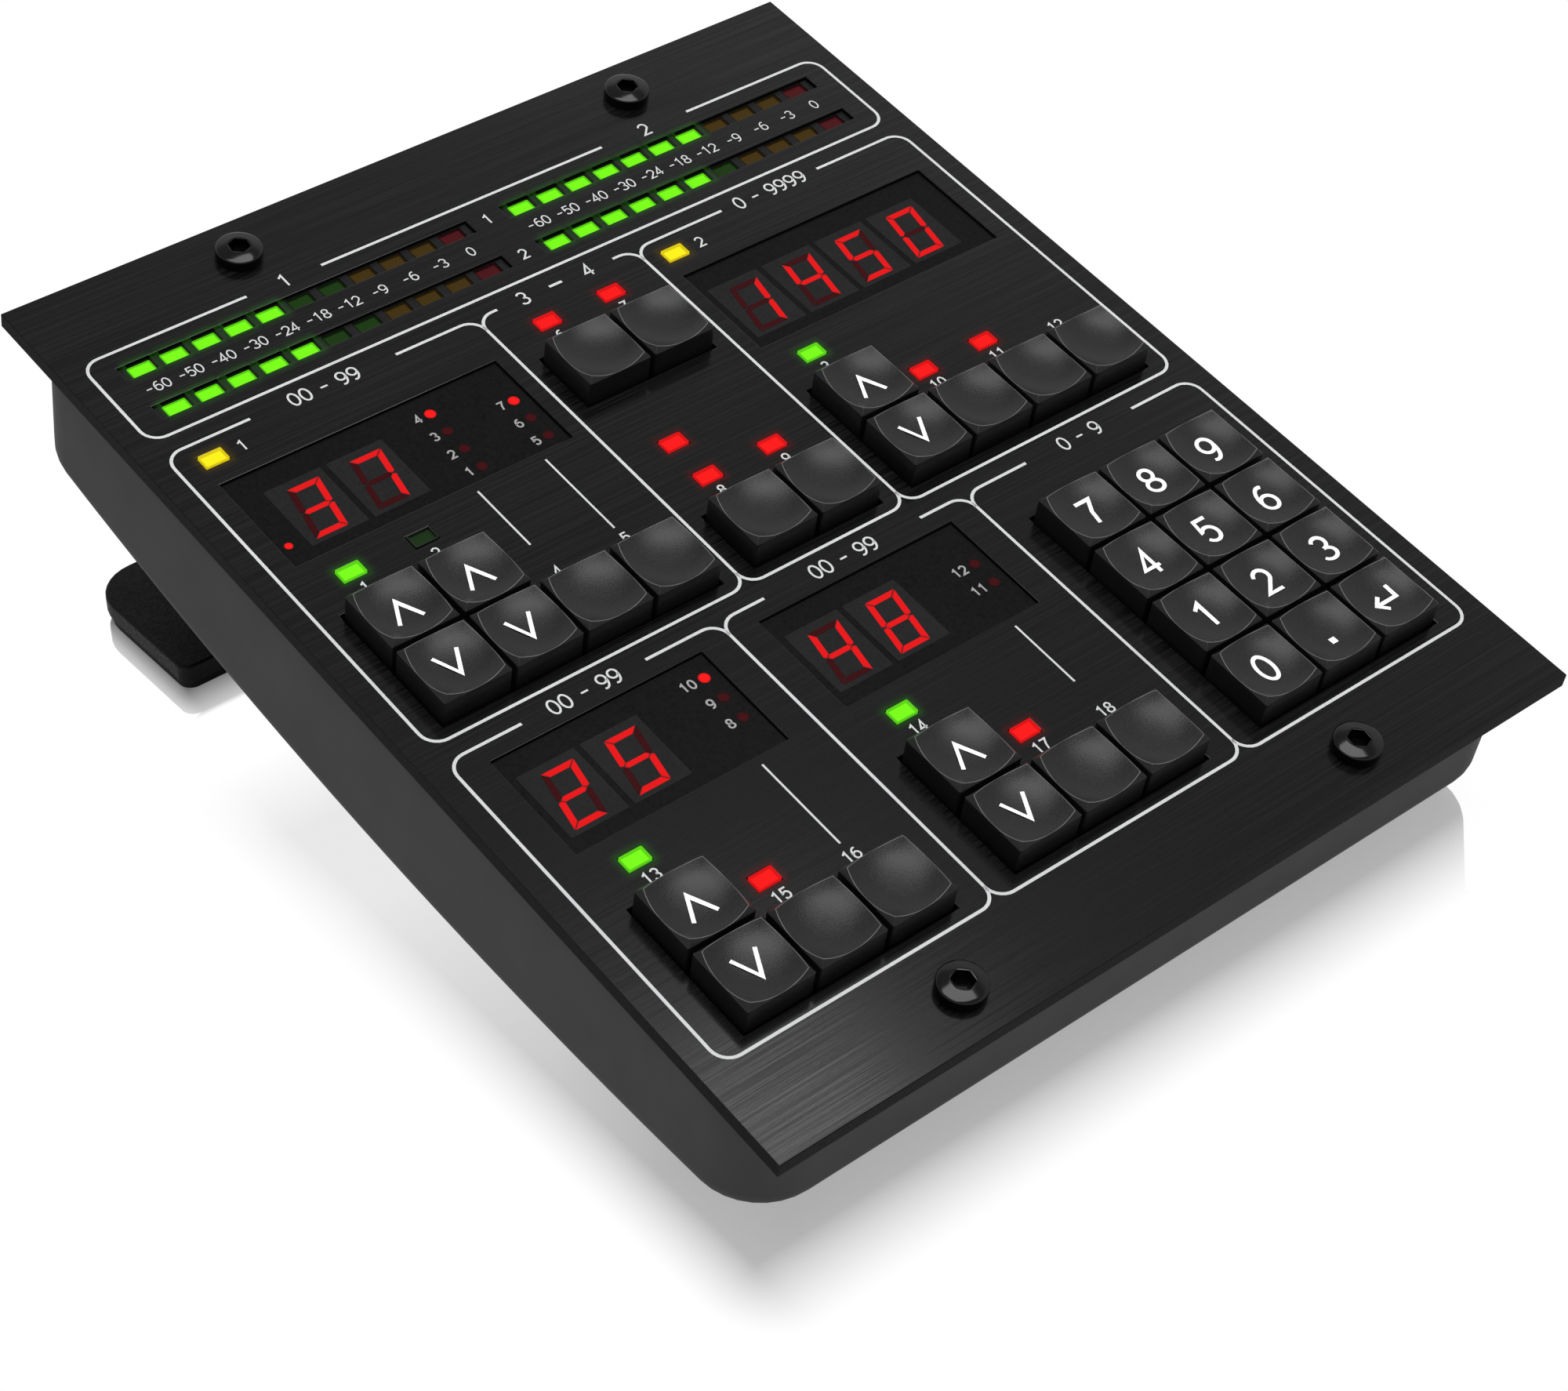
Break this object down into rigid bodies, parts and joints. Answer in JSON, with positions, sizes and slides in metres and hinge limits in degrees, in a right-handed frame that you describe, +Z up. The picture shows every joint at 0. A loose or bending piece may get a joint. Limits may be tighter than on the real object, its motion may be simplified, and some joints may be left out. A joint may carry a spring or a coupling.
{
  "type": "digital delay desktop controller",
  "caption": "Sloping desktop controller of a digital delay: brushed metal panel with dished keys, number displays, level meters and indicator lights, on a curved tray with a rear stand.",
  "frame": {"origin": "on the table, under the centre of the part's box", "axes": "+X to the right as seen by the user, +Y to the rear, +Z up; the panel rises 10.6 degrees to the rear"},
  "size_m": [0.135, 0.1646, 0.0547],
  "materials": {
    "panel_black": "black anodised, brushed from side to side",
    "tray_grey": "dark grey, fine matt grain",
    "board_green": "solder mask",
    "switch_black": "moulded",
    "light_green": "clear lens",
    "light_amber": "clear lens, unlit",
    "light_dark_red": "clear lens, unlit",
    "light_red": "clear lens",
    "light_yellow": "clear lens",
    "smoked_pane": "smoked, satin",
    "digit_grey": "moulded",
    "screw_black": "black oxide, glossy",
    "standoff_brass": "turned",
    "screw_steel": "zinc plated",
    "socket_metal": "plated",
    "stand_black": "fine texture",
    "pad_rubber": "matt",
    "key_grey": "fine satin grain"
  },
  "bodies": {
    "unit": {"front_panel": "panel_black", "body_shell": "tray_grey", "main_board": "board_green", "switch_bodies": "switch_black", "meter_bars": "switch_black", "meter_green_lights": "light_green", "meter_amber_lights": "light_amber", "meter_red_lights": "light_dark_red", "modulation_window": "smoked_pane", "delay_window": "smoked_pane", "feedback_window": "smoked_pane", "preset_window": "smoked_pane", "digit_blocks": "digit_grey", "window_lamps": "light_red", "green_indicators": "light_green", "red_indicators": "light_red", "yellow_indicators": "light_yellow", "panel_screws": "screw_black", "board_standoffs": "standoff_brass", "board_screws": "screw_steel", "data_socket": "socket_metal", "rear_stand": "stand_black", "rear_foot_pad": "pad_rubber", "front_foot_pad": "pad_rubber", "stand_screws": "screw_steel"},
    "speed_up_key_cap": {"speed_up_key": "key_grey"},
    "depth_up_key_cap": {"depth_up_key": "key_grey"},
    "speed_down_key_cap": {"speed_down_key": "key_grey"},
    "depth_down_key_cap": {"depth_down_key": "key_grey"},
    "waveform_key_cap": {"waveform_key": "key_grey"},
    "modulation_select_key_cap": {"modulation_select_key": "key_grey"},
    "pan_key_cap": {"pan_key": "key_grey"},
    "dynamics_key_cap": {"dynamics_key": "key_grey"},
    "direct_key_cap": {"direct_key": "key_grey"},
    "reverse_key_cap": {"reverse_key": "key_grey"},
    "time_up_key_cap": {"time_up_key": "key_grey"},
    "time_down_key_cap": {"time_down_key": "key_grey"},
    "time_modulation_key_cap": {"time_modulation_key": "key_grey"},
    "sync_key_cap": {"sync_key": "key_grey"},
    "learn_key_cap": {"learn_key": "key_grey"},
    "feedback_up_key_cap": {"feedback_up_key": "key_grey"},
    "feedback_down_key_cap": {"feedback_down_key": "key_grey"},
    "invert_key_cap": {"invert_key": "key_grey"},
    "feedback_select_key_cap": {"feedback_select_key": "key_grey"},
    "preset_up_key_cap": {"preset_up_key": "key_grey"},
    "preset_down_key_cap": {"preset_down_key": "key_grey"},
    "delay_on_key_cap": {"delay_on_key": "key_grey"},
    "special_key_cap": {"special_key": "key_grey"},
    "key_7_cap": {"key_7": "key_grey"},
    "key_8_cap": {"key_8": "key_grey"},
    "key_9_cap": {"key_9": "key_grey"},
    "key_4_cap": {"key_4": "key_grey"},
    "key_5_cap": {"key_5": "key_grey"},
    "key_6_cap": {"key_6": "key_grey"},
    "key_1_cap": {"key_1": "key_grey"},
    "key_2_cap": {"key_2": "key_grey"},
    "key_3_cap": {"key_3": "key_grey"},
    "key_0_cap": {"key_0": "key_grey"},
    "point_key_cap": {"point_key": "key_grey"},
    "enter_key_cap": {"enter_key": "key_grey"}
  },
  "joints": [
    {"name": "speed_up_key_press", "type": "slide", "parent": "unit", "child": "speed_up_key_cap", "axis": [0, 0.184, -0.9829], "range_m": [0, 0.0008], "stiffness_N_per_m": 1200},
    {"name": "depth_up_key_press", "type": "slide", "parent": "unit", "child": "depth_up_key_cap", "axis": [0, 0.184, -0.9829], "range_m": [0, 0.0008], "stiffness_N_per_m": 1200},
    {"name": "speed_down_key_press", "type": "slide", "parent": "unit", "child": "speed_down_key_cap", "axis": [0, 0.184, -0.9829], "range_m": [0, 0.0008], "stiffness_N_per_m": 1200},
    {"name": "depth_down_key_press", "type": "slide", "parent": "unit", "child": "depth_down_key_cap", "axis": [0, 0.184, -0.9829], "range_m": [0, 0.0008], "stiffness_N_per_m": 1200},
    {"name": "waveform_key_press", "type": "slide", "parent": "unit", "child": "waveform_key_cap", "axis": [0, 0.184, -0.9829], "range_m": [0, 0.0008], "stiffness_N_per_m": 1200},
    {"name": "modulation_select_key_press", "type": "slide", "parent": "unit", "child": "modulation_select_key_cap", "axis": [0, 0.184, -0.9829], "range_m": [0, 0.0008], "stiffness_N_per_m": 1200},
    {"name": "pan_key_press", "type": "slide", "parent": "unit", "child": "pan_key_cap", "axis": [0, 0.184, -0.9829], "range_m": [0, 0.0008], "stiffness_N_per_m": 1200},
    {"name": "dynamics_key_press", "type": "slide", "parent": "unit", "child": "dynamics_key_cap", "axis": [0, 0.184, -0.9829], "range_m": [0, 0.0008], "stiffness_N_per_m": 1200},
    {"name": "direct_key_press", "type": "slide", "parent": "unit", "child": "direct_key_cap", "axis": [0, 0.184, -0.9829], "range_m": [0, 0.0008], "stiffness_N_per_m": 1200},
    {"name": "reverse_key_press", "type": "slide", "parent": "unit", "child": "reverse_key_cap", "axis": [0, 0.184, -0.9829], "range_m": [0, 0.0008], "stiffness_N_per_m": 1200},
    {"name": "time_up_key_press", "type": "slide", "parent": "unit", "child": "time_up_key_cap", "axis": [0, 0.184, -0.9829], "range_m": [0, 0.0008], "stiffness_N_per_m": 1200},
    {"name": "time_down_key_press", "type": "slide", "parent": "unit", "child": "time_down_key_cap", "axis": [0, 0.184, -0.9829], "range_m": [0, 0.0008], "stiffness_N_per_m": 1200},
    {"name": "time_modulation_key_press", "type": "slide", "parent": "unit", "child": "time_modulation_key_cap", "axis": [0, 0.184, -0.9829], "range_m": [0, 0.0008], "stiffness_N_per_m": 1200},
    {"name": "sync_key_press", "type": "slide", "parent": "unit", "child": "sync_key_cap", "axis": [0, 0.184, -0.9829], "range_m": [0, 0.0008], "stiffness_N_per_m": 1200},
    {"name": "learn_key_press", "type": "slide", "parent": "unit", "child": "learn_key_cap", "axis": [0, 0.184, -0.9829], "range_m": [0, 0.0008], "stiffness_N_per_m": 1200},
    {"name": "feedback_up_key_press", "type": "slide", "parent": "unit", "child": "feedback_up_key_cap", "axis": [0, 0.184, -0.9829], "range_m": [0, 0.0008], "stiffness_N_per_m": 1200},
    {"name": "feedback_down_key_press", "type": "slide", "parent": "unit", "child": "feedback_down_key_cap", "axis": [0, 0.184, -0.9829], "range_m": [0, 0.0008], "stiffness_N_per_m": 1200},
    {"name": "invert_key_press", "type": "slide", "parent": "unit", "child": "invert_key_cap", "axis": [0, 0.184, -0.9829], "range_m": [0, 0.0008], "stiffness_N_per_m": 1200},
    {"name": "feedback_select_key_press", "type": "slide", "parent": "unit", "child": "feedback_select_key_cap", "axis": [0, 0.184, -0.9829], "range_m": [0, 0.0008], "stiffness_N_per_m": 1200},
    {"name": "preset_up_key_press", "type": "slide", "parent": "unit", "child": "preset_up_key_cap", "axis": [0, 0.184, -0.9829], "range_m": [0, 0.0008], "stiffness_N_per_m": 1200},
    {"name": "preset_down_key_press", "type": "slide", "parent": "unit", "child": "preset_down_key_cap", "axis": [0, 0.184, -0.9829], "range_m": [0, 0.0008], "stiffness_N_per_m": 1200},
    {"name": "delay_on_key_press", "type": "slide", "parent": "unit", "child": "delay_on_key_cap", "axis": [0, 0.184, -0.9829], "range_m": [0, 0.0008], "stiffness_N_per_m": 1200},
    {"name": "special_key_press", "type": "slide", "parent": "unit", "child": "special_key_cap", "axis": [0, 0.184, -0.9829], "range_m": [0, 0.0008], "stiffness_N_per_m": 1200},
    {"name": "key_7_press", "type": "slide", "parent": "unit", "child": "key_7_cap", "axis": [0, 0.184, -0.9829], "range_m": [0, 0.0008], "stiffness_N_per_m": 1200},
    {"name": "key_8_press", "type": "slide", "parent": "unit", "child": "key_8_cap", "axis": [0, 0.184, -0.9829], "range_m": [0, 0.0008], "stiffness_N_per_m": 1200},
    {"name": "key_9_press", "type": "slide", "parent": "unit", "child": "key_9_cap", "axis": [0, 0.184, -0.9829], "range_m": [0, 0.0008], "stiffness_N_per_m": 1200},
    {"name": "key_4_press", "type": "slide", "parent": "unit", "child": "key_4_cap", "axis": [0, 0.184, -0.9829], "range_m": [0, 0.0008], "stiffness_N_per_m": 1200},
    {"name": "key_5_press", "type": "slide", "parent": "unit", "child": "key_5_cap", "axis": [0, 0.184, -0.9829], "range_m": [0, 0.0008], "stiffness_N_per_m": 1200},
    {"name": "key_6_press", "type": "slide", "parent": "unit", "child": "key_6_cap", "axis": [0, 0.184, -0.9829], "range_m": [0, 0.0008], "stiffness_N_per_m": 1200},
    {"name": "key_1_press", "type": "slide", "parent": "unit", "child": "key_1_cap", "axis": [0, 0.184, -0.9829], "range_m": [0, 0.0008], "stiffness_N_per_m": 1200},
    {"name": "key_2_press", "type": "slide", "parent": "unit", "child": "key_2_cap", "axis": [0, 0.184, -0.9829], "range_m": [0, 0.0008], "stiffness_N_per_m": 1200},
    {"name": "key_3_press", "type": "slide", "parent": "unit", "child": "key_3_cap", "axis": [0, 0.184, -0.9829], "range_m": [0, 0.0008], "stiffness_N_per_m": 1200},
    {"name": "key_0_press", "type": "slide", "parent": "unit", "child": "key_0_cap", "axis": [0, 0.184, -0.9829], "range_m": [0, 0.0008], "stiffness_N_per_m": 1200},
    {"name": "point_key_press", "type": "slide", "parent": "unit", "child": "point_key_cap", "axis": [0, 0.184, -0.9829], "range_m": [0, 0.0008], "stiffness_N_per_m": 1200},
    {"name": "enter_key_press", "type": "slide", "parent": "unit", "child": "enter_key_cap", "axis": [0, 0.184, -0.9829], "range_m": [0, 0.0008], "stiffness_N_per_m": 1200}
  ]
}
